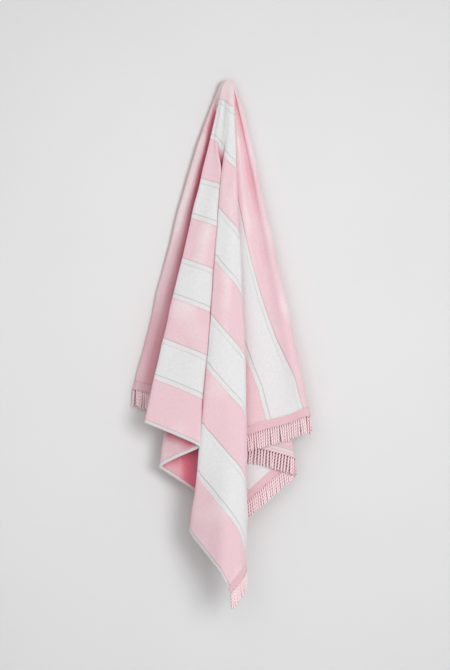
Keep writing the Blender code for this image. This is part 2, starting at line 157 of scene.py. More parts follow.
GROOVE_DARK = 0.4          # shade between the plies,
FLANK_DARK = 0.75          # beside the next cord,
ROOT_DARK = 0.15           # and at the root, where it ends at these shares of the cord
ROOT_SHADE = (0.04, 0.16)
YARN_APART = 0.1           # distance between two cords' places in the yarn's pattern
YARN_ROUND = 1 / 600       # metres of that pattern for each radian round a cord

# Soft ridges and troughs that run down from the hang point.
#   high, low     flat angle of its middle at the two levels of the fold table, degrees
#   wide          half width, degrees
#   rise          millimetres towards the room where the face shows, minus for a trough
#   start, end    radii between which it shows
CREASES = [
    # high, low, wide, rise, start, end
    (28.0, 28.0, 6.0, -2.5, 0.03, 0.24),
    (19.0, 19.0, 5.0, 2.0, 0.03, 0.24),
    (13.5, 16.5, 2.6, 2.0, 0.25, 0.80),
    (32.0, 32.5, 3.0, -7.0, 0.55, 1.30),
    (44.0, 44.5, 3.0, 2.5, 0.25, 0.95),
    (48.5, 48.5, 1.6, -2.0, 0.35, 1.00),
    (61.0, 61.0, 3.0, 2.5, 0.35, 1.10),
    (71.0, 71.0, 2.5, -2.0, 0.35, 1.05),
    (84.5, 80.5, 4.0, 4.5, 0.06, 0.90),
    (92.0, 85.0, 3.2, -2.4, 0.05, 0.70),
    (99.0, 93.5, 4.0, 4.0, 0.08, 1.20),
    (-87.0, -88.5, 2.6, 8.0, 0.12, 1.40),
    (-72.0, -72.0, 4.0, 3.0, 0.30, 1.00),
    (-55.0, -55.0, 3.0, -2.0, 0.30, 1.10),
]
CREASE_COMES = 0.06        # length over which a crease comes in
CREASE_GOES = 0.20         # and goes out
RIPPLE = 0.0016            # height of the cloth's uneven ripples
RIPPLE_COMES = (0.05, 0.30)   # radii over which they come in
PILE_HEIGHT = 0.0012
PILE_SLOPE = 0.0018        # width over which the pile rises at a stripe's edge
PILE_FOOT = 0.0002         # how far its foot reaches into the band
COLOUR_CHANGE = 0.0005     # half the width over which white turns to pink
PATCH = 1 / 130            # size of the patches where the pile lies differently
BANDS = math.pi / 10       # a wave texture of scale 1 has bands this far apart
THREAD = 0.0024            # spacing of the weft in the bands, coarser than the real 1 mm
THREAD_HEIGHT = 0.12       # as a share of the pile's height
WEFT = {"Scale": BANDS / THREAD, "Distortion": 0.5, "Detail": 1.0}
WEFT_HEIGHT = 0.0004       # at the cloth's ends
FUZZ = 1 / 900             # size of the loose fibres on tape and cords
RIB = 0.0042               # spacing of the tape's slanting ribs, coarser than the real 2 mm
RIB_SLANT = 38.0
RIB_HEIGHT = 0.0010
# lines of stitching behind the tape: how far from its inner edge, and tone
SEAMS = [(0.0035, 0.62), (0.0125, 0.74)]
SEAM_WIDTH = 0.0013
RIB_SHADE = 0.84           # painted shade between the ribs
EDGE_JITTER = 0.0012       # how far the tufts wander over a colour change
JITTER_SIZE = 1 / 420
LINE_WIDTH = 0.0018        # shadow line at the edge of a pile stripe
LINE_DEEP = 0.11
LINE_FAINT = 0.02
# Rays that find how much shade to paint on the cloth: to the room around, and to the key lamp.
SHELTER_EVERY = 3          # looked up on every third row and column of the mesh
ROOM_RAYS, ROOM_REACH = 18, 0.20
LAMP_RAYS, LAMP_REACH = 9, 0.60
LAMP_WIDE = 13.0           # half angle of the key lamp, degrees
GRAZING = 0.05             # cosine below which the cloth faces away from a ray
CLEAR = 0.0025             # how far off the cloth a ray starts
TURNED_AWAY = 0.80         # what a ray to the lamp counts for where the cloth faces away
TROUGH_SHADE = 45.0        # painted shade added for each metre of a trough's depth; on a ridge it is taken away, down to painted highlight
FOLD_FROM, FOLD_FULL = 0.11, 0.66   # painted shade at which the deeper colour starts, and is full
RIDGE_FROM, RIDGE_FULL = -0.04, -0.18   # and the same for the painted highlight, a paler colour, on a ridge
TOP_FROM, TOP_FULL = 0.10, 0.03     # distance from the hang point, for the painted highlight over the top
TOP_PALE = 0.8             # share of the painted highlight's colour there
# sRGB colours; the deeper ones for folds are painted shade, and the paler pink for ridges is a
# painted highlight
SHADES = {
    "wall": "#E3E3E3",
    "white": "#E5E4E5",
    "white in painted shade": "#DABCC2",
    "pink": "#EBC9D0",
    "pink in painted shade": "#E2768A",
    "pink with painted highlight": "#F0DEE0",
    "band": "#E3E2E3",
    "nap": "#FBF2F3",
    "tape": "#F5C9D1",
    "tape in painted shade": "#C76678",
    "cord": "#FFECF0",
    "cord in painted shade": "#B8425A",
    "woven end": "#E6D2D4",
}

# -------------------- stage, light, camera
# Lamps, aimed at the towel's middle.
#   bearing, height   degrees to the right of the camera and above it
#   away, size        metres
#   power             watts
LAMPS = [
    # name, bearing, height, away, size, power
    ("key", 24.0, 4.0, 8.0, 3.4, 264.0),
    ("front", -6.0, 6.0, 3.4, 3.0, 26.0),
]
MIDDLE = (0.0, 0.0, -0.6)
SKY = 0.46                 # strength of the even light from all round
WALL_Y = 0.0272            # wall behind the hang point
WALL_LEAN = 0.030          # and how far it stands back for each metre down
# painted light: a pool of light painted on the wall, palest at this place
WALL_LIGHT_MIDDLE = (0.0, 0.0, -0.65)
WALL_LIGHT_EDGE = 0.90           # tone of the wall a metre from the middle of its painted pool of light
WALL_TOP = 1.6
FLOOR_Z = -1.75
FLOOR_CURVE = 0.4          # radius of the curve from wall to floor
CURVE_STEPS = 12
FLOOR_FRONT = -6.0
STAGE_HALF = 4.0           # half the stage's width
LENS_DISTANCE = 16.0
SENSOR = 36.0              # millimetres, along the picture's height
VIEW_HEIGHT = 1.6415       # metres of the towel's plane that fill the picture's height
VIEW_X = -0.0037
VIEW_Z = -0.6235


# -------------------- where the cloth hangs
def smooth(value, low, high):
    """Rises softly from 0 to 1 between two values."""
    share = np.clip((value - low) / (high - low), 0.0, 1.0)
    return share * share * (3.0 - 2.0 * share)


def eased(length, whole):
    """Rises from 0 to 1 over a length, quickly at first."""
    return np.sin(np.minimum(length / whole, 1.0) * math.pi / 2)


def unit(vectors):
    """The same vectors, each one metre long."""
    return vectors / np.maximum(np.linalg.norm(vectors, axis=-1, keepdims=True), TINY)


def low_share(radii):
    """How far each radius is from the fold table's high level to its low one, 0 to 1."""
    return np.clip((radii - LEVEL_HIGH) / (LEVEL_LOW - LEVEL_HIGH), 0.0, 1.0)


def edge_angle(radius):
    """Flat angle, away from straight down, of the near long edge at each radius."""
    part = np.minimum(1.0, NEAR_EDGE / np.maximum(radius, TINY))
    return 90.0 + np.degrees(np.arcsin(part))


def fold_angles(radii):
    """Flat angle of every fold at each radius."""
    share = low_share(radii)
    angles = np.stack([fold["high"] + (fold["low"] - fold["high"]) * share
                       for fold in FOLD_VALUES], axis=1)
    limit = edge_angle(radii)
    angles[:, 0] = -limit
    angles[:, 1] = angles[:, 2] + (-limit - angles[:, 2]) * BACK_SHARE
    angles[:, -1] = limit
    angles[:, -2] = angles[:, -3] + (limit - angles[:, -3]) * BACK_SHARE
    return angles


def fold_line(fold, radii):
    """Place of one fold at each radius, with its true length kept by the drop."""
    length = radii - fold["take_up"] * CM * eased(radii, GATHER)
    leave = eased(length, SHOULDER)
    swing = np.maximum(0.0, length - SAG_FROM) ** 2
    settled = length - (1.0 - SETTLE) * np.maximum(0.0, length - SETTLE_FROM)
    x = fold["top_x"] * eased(length, SIDE_SHOULDER)
    x = x + fold["spread"] * eased(length, SPREAD)
    x = (x + fold["lean_x"] * length + fold["sag"] * swing) * CM
    y = (fold["top_y"] * leave + fold["lean_y"] * settled + fold["back"] * swing) * CM
    if fold in (FOLD_VALUES[0], FOLD_VALUES[-1]):
        # the near long edge runs over the middle of the back before it parts in two
        apart = np.sqrt(np.clip(1.0 - (NEAR_EDGE / np.maximum(radii, TINY)) ** 2, 0.0, 1.0))
        x = x * apart
        y = y * apart + (1.0 - apart) * fold["top_y"] * leave * CM
    run = np.hypot(np.diff(x), np.diff(y))
    drop = np.sqrt(np.maximum(np.diff(length) ** 2 - run ** 2, (LEAST_DROP * STEP) ** 2))
    z = -np.concatenate([[0.0], np.cumsum(drop)])
    return np.stack([x, y, z], axis=1)


def press(lines, angles, radii):
    """Lays each fold that is still shut on the line between its open neighbours.

    Also gives how far each fold has opened, from 0 to 1, at each radius.
    """
    opens = [fold["opens"] * CM for fold in FOLD_VALUES]
    steady = [index for index, start in enumerate(opens) if start == 0.0]
    pressed = lines.copy()
    opened = np.ones(angles.shape)
    for index, start in enumerate(opens):
        if start == 0.0:
            continue
        before = max(other for other in steady if other < index)
        after = min(other for other in steady if other > index)
        share = (angles[:, index] - angles[:, before]) / (angles[:, after] - angles[:, before])
        flat = lines[:, before] + (lines[:, after] - lines[:, before]) * share[:, None]
        opened[:, index] = smooth(radii, start, start + OPENING)
        pressed[:, index] = flat + (lines[:, index] - flat) * opened[:, index, None]
    return pressed, opened


def corners():
    """Corner angles and points of the section at each radius: two for a fold, one for a bend."""
    radii = np.arange(0.0, REACH + STEP, STEP)
    angles = fold_angles(radii)
    lines = np.stack([fold_line(fold, radii) for fold in FOLD_VALUES], axis=1)
    lines, opened = press(lines, angles, radii)
    share = (TURN_TOP * eased(radii, SHOULDER) + radii) / (TURN_TOP + TURN_LEVEL)
    share = np.minimum(1.0, share)
    corner_angles, corner_points = [], []
    for index, fold in enumerate(FOLD_VALUES):
        if fold["turn"] == 0.0:
            corner_angles.append(angles[:, index])
            corner_points.append(lines[:, index])
            continue
        before = unit(lines[:, index, :2] - lines[:, index - 1, :2])
        after = unit(lines[:, index + 1, :2] - lines[:, index, :2])
        across = unit(before + after)
        width = fold["turn"] * CM * share * opened[:, index]
        spread = np.degrees(width / np.maximum(radii, TINY)) * TURN_CLOTH
        for side in (-0.5, 0.5):
            point = lines[:, index].copy()
            point[:, :2] += across * (side * width)[:, None]
            corner_points.append(point)
            corner_angles.append(angles[:, index] + side * spread)
    return np.stack(corner_angles, axis=1), np.stack(corner_points, axis=1)


CORNER_ANGLES, CORNER_POINTS = corners()


def rounding(points):
    """Share of each panel that is taken by the rounding at either end of it."""
    lengths = np.linalg.norm(points[:, 1:] - points[:, :-1], axis=2)
    return np.minimum(ROUND_MOST, ROUND / np.maximum(lengths, TINY))


def at_radius(radius):
    """Corner angles and corner points at each of many radii."""
    place = np.clip(radius / STEP, 0, len(CORNER_ANGLES) - 1 - TINY)
    low = place.astype(int)
    part = (place - low)[:, None]
    angles = CORNER_ANGLES[low] * (1 - part) + CORNER_ANGLES[low + 1] * part
    part = part[:, :, None]
    points = CORNER_POINTS[low] * (1 - part) + CORNER_POINTS[low + 1] * part
    return angles, points


def curve(start, corner, end, way):
    """Places along the curve from start to end that turns at a corner."""
    way = way[:, None]
    return (1 - way) ** 2 * start + 2 * way * (1 - way) * corner + way * way * end


def on_panel(points, panel, share):
    """Places at a share of the way along a panel, with the corners rounded."""
    rows = np.arange(len(panel))
    last = points.shape[1] - 2
    shares = rounding(points)
    here, there = points[rows, panel], points[rows, panel + 1]
    taken = shares[rows, panel]
    place = here + (there - here) * share[:, None]
    first = (share < taken) & (panel > 0)
    back = np.maximum(panel - 1, 0)
    start = here + (points[rows, back] - here) * shares[rows, back][:, None]
    end = here + (there - here) * taken[:, None]
    bent = curve(start, here, end, 0.5 + 0.5 * share / taken)
    place = np.where(first[:, None], bent, place)
    final = (share > 1 - taken) & (panel < last)
    ahead = np.minimum(panel + 1, last)
    start = there + (here - there) * taken[:, None]
    end = there + (points[rows, ahead + 1] - there) * shares[rows, ahead][:, None]
    bent = curve(start, there, end, 0.5 * (share - 1 + taken) / taken)
    return np.where(final[:, None], bent, place)


def polar(u, v):
    """Radius and flat angle of flat points: u along the stripes and v across them."""
    return np.hypot(u, v), np.degrees(np.arctan2(u, v))


def hang(u, v):
    """Where flat points hang: u along the stripes and v across, from the hang point."""
    radius, angle = polar(u, v)
    angles, points = at_radius(radius)
    last = angles.shape[1] - 2
    panel = np.clip((angles <= angle[:, None]).sum(axis=1) - 1, 0, last)
    rows = np.arange(len(radius))
    start, end = angles[rows, panel], angles[rows, panel + 1]
    share = np.clip((angle - start) / np.maximum(end - start, TINY), 0.0, 1.0)
    return on_panel(points, panel, share)


def edge_radius(angle, left, right):
    """Radius at which a ray at this flat angle meets the edge of the cloth."""
    along, across = math.sin(math.radians(angle)), math.cos(math.radians(angle))
    reach = REACH
    if along > TINY:
        reach = min(reach, right / along)
    if along < -TINY:
        reach = min(reach, left / -along)
    if across > TINY:
        reach = min(reach, FAR_EDGE / across)
    return reach


def column_end(panel, share, left, right):
    """Radius at which a column of the grid reaches the edge of the cloth."""
    radius = TURN_LEVEL
    for _ in range(EDGE_ROUNDS):
        angles, _ = at_radius(np.array([radius]))
        angle = angles[0, panel] * (1 - share) + angles[0, panel + 1] * share
        radius = edge_radius(float(angle), left, right)
    return radius


# -------------------- small helpers
def linear(code):
    """Linear colour of an sRGB hex code."""
    parts = [int(code[place:place + 2], 16) / 255 for place in (1, 3, 5)]
    parts = [part / 12.92 if part < 0.04045 else ((part + 0.055) / 1.055) ** 2.4
             for part in parts]
    return (*parts, 1.0)


COLOURS = {name: linear(code) for name, code in SHADES.items()}
MIX_A, MIX_B, MIXED = 6, 7, 2      # the colour inputs of a Mix node, and its colour output


def add(tree, kind, *inputs, named=(), **settings):
    """Adds a node. An input is a value, or a node whose first output is linked."""
    node = tree.nodes.new("ShaderNode" + kind)
    for key, value in settings.items():
        setattr(node, key, value)
    for key, value in list(enumerate(inputs)) + list(dict(named).items()):
        if value is None:
            continue
        if isinstance(value, bpy.types.Node):
            value = value.outputs[0]
        if isinstance(value, bpy.types.NodeSocket):
            tree.links.new(value, node.inputs[key])
        else:
            node.inputs[key].default_value = value
    return node


def new_material(name, finish):
    """A material with an empty tree and a shader that is set to this finish."""
    material = bpy.data.materials.new(name)
    material.use_nodes = True
    tree = material.node_tree
    tree.nodes.clear()
    shader = add(tree, "BsdfPrincipled", named=finish)
    add(tree, "OutputMaterial", shader)
    return material, tree, shader


def dress(tree, shader, colour, tone, height=None, strength=1.0, deepest=0.0):
    """Gives a shader its colour, scaled by a tone, and its relief, up to a deepest height."""
    scaled = add(tree, "VectorMath", colour, operation="SCALE", named={"Scale": tone})
    tree.links.new(scaled.outputs[0], shader.inputs["Base Color"])
    if height:
        bump = add(tree, "Bump", named={"Height": height, "Strength": strength,
                                        "Distance": deepest})
        tree.links.new(bump.outputs[0], shader.inputs["Normal"])


def link(thing):
    """Puts an object in the scene and gives it back."""
    bpy.context.scene.collection.objects.link(thing)
    return thing


def mesh_object(name, verts, faces, materials, flat=None, face_slots=None, shut=None):
    """An object from arrays, with its flat place kept as a UV map.

    shut   painted shade of each point, from how closed in it is, kept as the attribute that materials read
    """
    mesh = bpy.data.meshes.new(name)
    mesh.from_pydata([tuple(vert) for vert in verts], [], [tuple(face) for face in faces])
    for material in materials:
        mesh.materials.append(material)
    if flat is not None:
        layer = mesh.uv_layers.new(name="flat")
        corner_verts = np.empty(len(mesh.loops), np.int32)
        mesh.loops.foreach_get("vertex_index", corner_verts)
        layer.data.foreach_set("uv", np.asarray(flat, np.float32)[corner_verts].ravel())
    if shut is not None:
        painted_shade_level = mesh.attributes.new("shade_to_paint", "FLOAT", "POINT")
        painted_shade_level.data.foreach_set("value", np.asarray(shut, np.float32))
    if face_slots is not None:
        mesh.polygons.foreach_set("material_index", np.asarray(face_slots, np.int32))
    mesh.update()
    mesh.shade_smooth()
    return link(bpy.data.objects.new(name, mesh))


def mend(thing, outward):
    """Drops points that no face uses, and turns the faces outwards where that is asked."""
    work = bmesh.new()
    work.from_mesh(thing.data)
    loose = [vert for vert in work.verts if not vert.link_faces]
    bmesh.ops.delete(work, geom=loose, context="VERTS")
    if outward:
        bmesh.ops.recalc_face_normals(work, faces=work.faces[:])
    work.to_mesh(thing.data)
    work.free()
    return thing


# -------------------- the cloth
def cloth_columns():
    """Panel and share of every column of the mesh, close together round each turn."""
    _, points = at_radius(np.array([TURN_LEVEL]))
    shares = rounding(points)[0]
    lengths = np.linalg.norm(points[0, 1:] - points[0, :-1], axis=1)
    found = []
    for panel, (taken, length) in enumerate(zip(shares, lengths)):
        near = np.linspace(0.0, taken, TURN_STEPS + 1)[:-1]
        plain = max(1, int(round(length * (1 - 2 * taken) / SIDE_STEP)))
        middle = np.linspace(taken, 1 - taken, plain + 1)
        far = np.linspace(1 - taken, 1.0, TURN_STEPS + 1)[1:-1]
        found += [(panel, share) for share in np.concatenate([near, middle, far])]
    found.append((len(lengths) - 1, 1.0))
    return found


def face_normals(grid, closed_rows):
    """Normals of the mid-surface, towards the face of the cloth.

    The first rows are closed rings round the hang point.
    """
    down = np.gradient(grid, axis=0)
    along = np.gradient(grid, axis=1)
    for row in range(closed_rows):
        along[row, 0] = along[row, -1] = (grid[row, 1] - grid[row, -2]) * 0.5
    return unit(np.cross(down, along))


def relief(radii, angles):
    """Height of creases and ripples over the plain folds, in metres."""
    height = np.zeros_like(radii)
    level = low_share(radii)
    for high, low, wide, rise, start, end in CREASES:
        across = np.exp(-((angles - high - (low - high) * level) / wide) ** 2)
        comes = smooth(radii, start, start + CREASE_COMES)
        stays = 1 - smooth(radii, end - CREASE_GOES, end)
        height += across * comes * stays * rise * MM
    u = radii * np.sin(np.radians(angles))
    v = radii * np.cos(np.radians(angles))
    # waves of unlike length and slant, so that no pattern shows
    ripple = np.sin(angles * 0.55 + 2.3 * radii) * np.sin(angles * 0.23 + 9.0 * radii)
    ripple += 0.7 * np.sin(31.0 * u + 3.0 * np.sin(7.0 * v)) * np.sin(24.0 * v + 1.7)
    ripple += 0.4 * np.sin(61.0 * v + 17.0 * u) * np.sin(43.0 * u)
    height += ripple * RIPPLE * smooth(radii, *RIPPLE_COMES)
    return height


def fan_of_rays(count, widest):
    """Unit vectors about +Z, spread evenly out to a widest angle in degrees."""
    step = np.arange(count) + 0.5
    out = np.sqrt(step / count) * math.sin(math.radians(widest))
    bearing = step * math.pi * (3.0 - math.sqrt(5.0))    # the golden angle
    return np.stack([out * np.cos(bearing), out * np.sin(bearing), np.sqrt(1 - out ** 2)], 1)


def towards(bearing, height):
    """Unit vector to a place this many degrees right of the camera and above it."""
    turn, lift = math.radians(bearing), math.radians(height)
    return Vector((math.sin(turn) * math.cos(lift), -math.cos(turn) * math.cos(lift),
                   math.sin(lift)))


def quads(index):
    """Faces of a grid of points, each from four neighbours."""
    return [(index[row, col], index[row + 1, col], index[row + 1, col + 1], index[row, col + 1])
            for row in range(index.shape[0] - 1) for col in range(index.shape[1] - 1)]


def shade_to_paint(grid, normals):
    """Painted shade for each point: how far it is shut away from light by the folds, 0 open and 1
    shut.

    Half is the share of the room that it can't see, and half the share of the key lamp.
    Gives one array for each side of the cloth.
    """
    rows, cols = [sorted({*range(0, size, SHELTER_EVERY), size - 1})
                  for size in grid.shape[:2]]
    coarse, out = grid[np.ix_(rows, cols)], normals[np.ix_(rows, cols)]
    index = np.arange(len(rows) * len(cols)).reshape(len(rows), len(cols))
    tree = BVHTree.FromPolygons([tuple(place) for place in coarse.reshape(-1, 3)], quads(index))
    _, bearing, height, *_ = LAMPS[0]
    turn = towards(bearing, height).to_track_quat("Z", "Y").to_matrix()
    to_lamp = [turn @ Vector(ray) for ray in fan_of_rays(LAMP_RAYS, LAMP_WIDE)]
    fan = [Vector(ray) for ray in fan_of_rays(ROOM_RAYS, 90.0)]
    sides = []
    for side in (1, -1):
        shut = np.zeros(coarse.shape[:2])
        for row, col in np.ndindex(shut.shape):
            normal = Vector(out[row, col] * side)
            turn = normal.to_track_quat("Z", "Y").to_matrix()
            start = Vector(coarse[row, col]) + normal * CLEAR
            room = sum(tree.ray_cast(start, turn @ ray, ROOM_REACH)[0] is not None
                       for ray in fan) / ROOM_RAYS
            dark = sum(TURNED_AWAY if normal.dot(ray) < GRAZING else
                       tree.ray_cast(start, ray, LAMP_REACH)[0] is not None
                       for ray in to_lamp) / LAMP_RAYS
            shut[row, col] = 0.5 * room + 0.5 * dark
        fine = np.stack([np.interp(np.arange(grid.shape[0]), rows, column)
                         for column in shut.T], axis=1)
        sides.append(np.stack([np.interp(np.arange(grid.shape[1]), cols, row)
                               for row in fine]))
    return sides


def rim_faces(rim):
    """Faces that join the two sides of a sheet along its rim."""
    return [(front, behind, next_behind, next_front)
            for (front, behind), (next_front, next_behind) in zip(rim, rim[1:])]


def build_cloth(materials):
    """The sheet with its hems: a grid of folds that is then given thickness both ways."""
    left, right = LEFT_LENGTH - TAPE + LAP, RIGHT_LENGTH - TAPE + LAP
    columns = cloth_columns()
    panel, share = [np.array(part) for part in zip(*columns)]
    ends = np.array([column_end(*column, left, right) for column in columns])
    closed = len(TOP_ROWS)
    count = int(round((np.mean(ends) - NEAR_EDGE) / DOWN_STEP))
    radii = [np.full(len(columns), radius) for radius in TOP_ROWS]
    radii += [NEAR_EDGE + (ends - NEAR_EDGE) * step / count for step in range(1, count + 1)]
    places, angles = [], []
    for row in radii:
        corner_angles, points = at_radius(row)
        every = np.arange(len(row))
        start, end = corner_angles[every, panel], corner_angles[every, panel + 1]
        places.append(on_panel(points, panel, share))
        angles.append(start + (end - start) * share)
    grid, radii, angles = np.stack(places), np.stack(radii), np.stack(angles)
    turn = np.radians(angles)
    flat = np.stack([radii * np.sin(turn), radii * np.cos(turn) + NEAR_EDGE], axis=2)
    normals = face_normals(grid, closed)
    height = relief(radii, angles)
    height[:closed, -1] = height[:closed, 0]
    grid = grid + normals * height[:, :, None]
    normals = face_normals(grid, closed)
    hem = np.minimum(flat[:, :, 1], WIDTH - flat[:, :, 1]) < HEM
    half = np.minimum(np.where(hem, HEM_THICK, CLOTH) * 0.5, TOP_HALF + HALF_GAINS * radii)
    verts = [(0.0, 0.0, TIP_HALF), (0.0, 0.0, -TIP_HALF)]
    uvs = [(0.0, NEAR_EDGE)] * 2
    shut = [0.0] * 2
    index = 2 + np.arange(2 * radii.size).reshape(2, *radii.shape)
    index[:, :closed, -1] = index[:, :closed, 0]
    faces, slots = [], []
    for side, (sign, hidden) in enumerate(zip((1, -1), shade_to_paint(grid, normals))):
        verts += list((grid + normals * (half * sign)[:, :, None]).reshape(-1, 3))
        uvs += list(flat.reshape(-1, 2))
        # painted shade of the folds, more in a trough; below nothing on a ridge, for painted
        # highlight
        shut += list((hidden - TROUGH_SHADE * height * sign).ravel())
        ring = index[side, 0]
        sheet = [(side, here, there) for here, there in zip(ring, ring[1:])]
        sheet += quads(index[side])
        faces += [corners_of[::sign] for corners_of in sheet]
        slots += [side] * len(sheet)
    rim = rim_faces([*index[:, closed - 1:-1, 0].T, *index[:, -1].T,
                     *index[:, -2:closed - 2:-1, -1].T])
    cloth = mesh_object("towel_cloth", verts, faces + rim, materials, uvs,
                        slots + [0] * len(rim), shut)
    return mend(cloth, outward=False)


# -------------------- the fringe trims
def build_tape(side, end):
    """Header tape of one end: ribbed braid on the face, the flat woven end behind."""
    v = np.linspace(-NEAR_EDGE, FAR_EDGE, TAPE_STEPS)
    steps = np.concatenate([[0.0, TAPE_ROUND], np.linspace(TAPE_FLAT, TAPE - TAPE_FLAT, 4),
                            [TAPE - TAPE_ROUND, TAPE]])
    places, normals, flats, heights = [], [], [], []
    for step in steps:
        u = np.full(len(v), side * (end - TAPE + step))
        across = hang(u, v + NUDGE) - hang(u, v - NUDGE)
        down = hang(u + side * NUDGE, v) - hang(u - side * NUDGE, v)
        places.append(hang(u, v))
        normals.append(unit(np.cross(down, across)) * -side)
        flats.append(np.stack([np.full(len(v), step), v + NEAR_EDGE], axis=1))
        heights.append(relief(*polar(u, v)))
    grid, normals, flat = np.stack(places), np.stack(normals), np.stack(flats)
    grid = grid + normals * np.stack(heights)[:, :, None]
    rows, cols = grid.shape[:2]
    half = np.full((rows, 1, 1), TAPE_THICK / 2)
    half[0] = half[-1] = TAPE_RIM / 2
    verts = np.concatenate([(grid + normals * half).reshape(-1, 3),
                            (grid - normals * half).reshape(-1, 3)])
    uvs = np.concatenate([flat.reshape(-1, 2)] * 2)
    index = np.arange(2 * rows * cols).reshape(2, rows, cols)
    front, back = quads(index[0]), quads(index[1])
    rim = rim_faces([*index[:, 0].T, *index[:, 1:, -1].T,
                     *index[:, -1, -2::-1].T, *index[:, -2::-1, 0].T])
    slots = [0] * len(front) + [2] * len(back) + [0] * len(rim)
    return list(verts), front + back + rim, list(uvs), slots, [0.0] * len(verts)


def build_cords(side, end):
    """All cords of one end: two plies twisted together, hanging from the tape."""
    v = -NEAR_EDGE + WIDTH / CORD_COUNT * (np.arange(CORD_COUNT) + 0.5)
    u = np.full(len(v), side * end)
    roots = hang(u, v)
    along = unit(roots - hang(u - side * NUDGE, v))
    across = unit(hang(u, v + NUDGE) - hang(u, v - NUDGE))
    height = relief(*polar(u, v))
    roots = roots + unit(np.cross(along, across)) * (-side * height)[:, None]
    chance = np.random.default_rng(CORD_SEED + side)
    sway = chance.normal(0.0, CORD_SWAY, (len(v), 3))
    # neighbours lean together in small bunches
    bunch = CORD_BUNCH * (np.sin(v * 210.0) + np.sin(v * 83.0 + 1.0))
    lengths = CORD_LENGTH * (1.0 + chance.normal(0.0, CORD_UNEVEN, len(v)))
    phases = chance.normal(0.0, CORD_TURNED, len(v))
    fall = np.array([0.0, 0.0, -1.0])
    around = np.linspace(0.0, 2 * math.pi, CORD_SIDES, endpoint=False)
    least = math.sqrt(PLY ** 2 - PLY_OFF ** 2)
    verts, faces, uvs, shut = [], [], [], []
    for cord, length in enumerate(lengths):
        course = unit(along[cord] * (1.0 - CORD_FALL) + fall * CORD_FALL + sway[cord] * 0.5
                      + across[cord] * bunch[cord])
        late = unit(course + fall * CORD_DROOP + sway[cord])
        one = unit(across[cord] - course * np.dot(across[cord], course))
        two = np.cross(course, one)
        first = len(verts)
        for way in np.linspace(0.0, 1.0, CORD_RINGS):
            blend = course * (1 - way * 0.5) + late * way * 0.5
            middle = roots[cord] - course * CORD_SUNK + blend * length * way
            size = (ROOT_SIZE + (1 - ROOT_SIZE) * smooth(way, 0.0, ROOT_WAY)
                    - TIP_LESS * smooth(way, TIP_WAY, 1.0))
            turn = around - phases[cord] - 2 * math.pi * way * length / CORD_TWIST
            lobe = PLY_OFF * np.abs(np.cos(turn)) + np.sqrt(PLY ** 2 - (PLY_OFF * np.sin(turn)) ** 2)
            verts += list(middle + np.outer(size * lobe * np.cos(around), one)
                          + np.outer(size * lobe * np.sin(around), two))
            uvs += [(way * length, cord * YARN_APART + angle * YARN_ROUND) for angle in around]
            groove = 1.0 - (lobe - least) / (PLY + PLY_OFF - least)
            flank = np.abs(np.cos(around)) ** 3
            root = 1 - smooth(way, *ROOT_SHADE)
            shade = GROOVE_DARK * groove ** 3 + (FLANK_DARK + root) * flank + ROOT_DARK * root
            shut += list(np.clip(shade, 0.0, 1.0))
        rings = first + np.arange(CORD_RINGS * CORD_SIDES).reshape(CORD_RINGS, CORD_SIDES)
        faces += quads(np.concatenate([rings, rings[:, :1]], axis=1))
        faces += [tuple(rings[0][::-1]), tuple(rings[-1])]
    return verts, faces, uvs, [1] * len(faces), shut


def build_fringe(name, side, end, materials):
    """One piece: the tape with its cords, as they are sewn together."""
    verts, faces, uvs, slots, shut = build_tape(side, end)
    cord_verts, cord_faces, cord_uvs, cord_slots, cord_shut = build_cords(side, end)
    faces += [[corner + len(verts) for corner in face] for face in cord_faces]
    thing = mesh_object(name, verts + cord_verts, faces, materials,
                        uvs + cord_uvs, slots + cord_slots, shut + cord_shut)
    return mend(thing, outward=True)


# -------------------- materials
def stripe_nodes(tree, place):
    """How far each point lies past the edge of the nearest pink stripe, in metres."""
    jitter = add(tree, "TexNoise", place, named={"Scale": 1.0 / JITTER_SIZE, "Detail": 1.0})
    jitter = add(tree, "Math", jitter, 0.5, operation="SUBTRACT")
    jitter = add(tree, "Math", jitter, EDGE_JITTER, operation="MULTIPLY")
    parts = add(tree, "SeparateXYZ", place)
    across = add(tree, "Math", parts.outputs["Y"], jitter, operation="ADD")
    centred = add(tree, "Math", across, HEM + STRIPE / 2, operation="SUBTRACT")
    wrapped = add(tree, "Math", centred, STRIPE, -STRIPE, operation="WRAP")
    distance = add(tree, "Math", wrapped, operation="ABSOLUTE")
    past = add(tree, "Math", distance, STRIPE / 2, operation="SUBTRACT")
    return past, wrapped


def nap_shadow(tree, past, wrapped, edge):
    """Painted shadow line where a stripe's pile stands over the band, deeper on the side the light
    leaves in shade.
    """
    off = add(tree, "Math", past, edge, operation="SUBTRACT")
    off = add(tree, "Math", off, operation="ABSOLUTE")
    line = add(tree, "MapRange", off, 0.0, LINE_WIDTH, 1.0, 0.0,
               interpolation_type="SMOOTHSTEP")
    # the painted shadow is deeper on the side towards the far long edge, which the light leaves in
    # shade
    side = add(tree, "Math", wrapped, 0.0,
               operation="GREATER_THAN" if edge < BAND / 2 else "LESS_THAN")
    depth = add(tree, "MapRange", side, 0.0, 1.0, LINE_FAINT, LINE_DEEP)
    dark = add(tree, "Math", line, depth, operation="MULTIPLY")
    return add(tree, "Math", 1.0, dark, operation="SUBTRACT")


